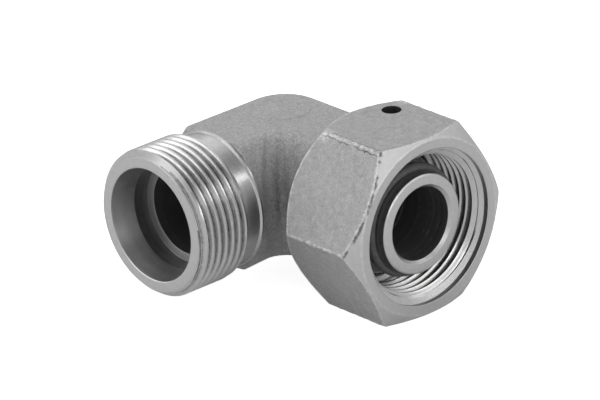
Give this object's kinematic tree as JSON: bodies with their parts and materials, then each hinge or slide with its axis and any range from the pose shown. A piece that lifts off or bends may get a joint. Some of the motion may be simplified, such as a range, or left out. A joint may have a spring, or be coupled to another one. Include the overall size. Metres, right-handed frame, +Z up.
{
  "type": "adjustable 90 degree elbow with swivel nut",
  "caption": "Forged steel 90 degree elbow for cutting-ring tube, with a male thread and tube cone on one leg and a swivel nut over a sealed cone on the other.",
  "frame": {"origin": "crossing of the two leg axes, at the middle of the forging", "axes": "+X out along the leg with the swivel nut, -Y out along the male leg, +Z up, square to a pair of the nut's flats"},
  "size_m": [0.0483, 0.0494, 0.0318],
  "materials": {
    "forged_steel": "zinc-nickel plated forging, machined threads and cones",
    "nut_steel": "zinc-nickel plated, pressed flats, machined faces and thread",
    "wire_steel": "drawn spring wire",
    "seal_rubber": "smooth moulded rubber"
  },
  "bodies": {
    "elbow": {"elbow_body": "forged_steel", "retaining_wire": "wire_steel", "o_ring": "seal_rubber"},
    "nut": {"swivel_nut": "nut_steel"}
  },
  "joints": [
    {"name": "nut_swivel", "type": "hinge", "parent": "elbow", "child": "nut", "pos_m": [0.025, 0, 0], "axis": [1, 0, 0], "continuous": true}
  ]
}
